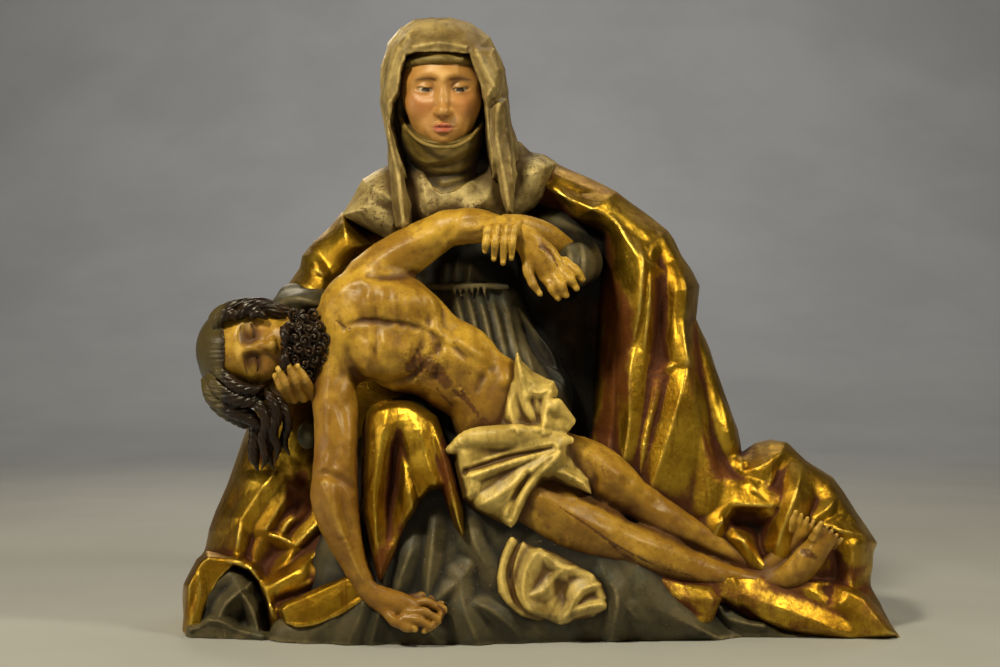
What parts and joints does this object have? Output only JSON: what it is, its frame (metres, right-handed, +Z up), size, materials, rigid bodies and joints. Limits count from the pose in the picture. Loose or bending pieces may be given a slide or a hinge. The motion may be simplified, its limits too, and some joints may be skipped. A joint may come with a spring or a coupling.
{
  "type": "pieta statue",
  "caption": "Carved, gilded and painted wooden group of a seated veiled mother holding her dead son across her lap, cut flat below.",
  "frame": {"origin": "on the flat underside, at the middle of its width and depth", "axes": "+Z up, -Y the way the seated woman faces, +X towards her left hand and the dead man's feet"},
  "size_m": [1.065, 0.374, 0.905],
  "materials": {
    "carved_wood": "burnished gilding over red bole",
    "gilding": "burnished gilding over red bole",
    "flesh_paint": "varnished oil paint",
    "face_paint": "satin oil paint",
    "linen_paint": "worn matt paint",
    "gown_paint": "worn dark matt paint",
    "hair_paint": "dark varnished paint"
  },
  "bodies": {
    "root": {"pieta_group": "carved_wood"}
  },
  "joints": []
}
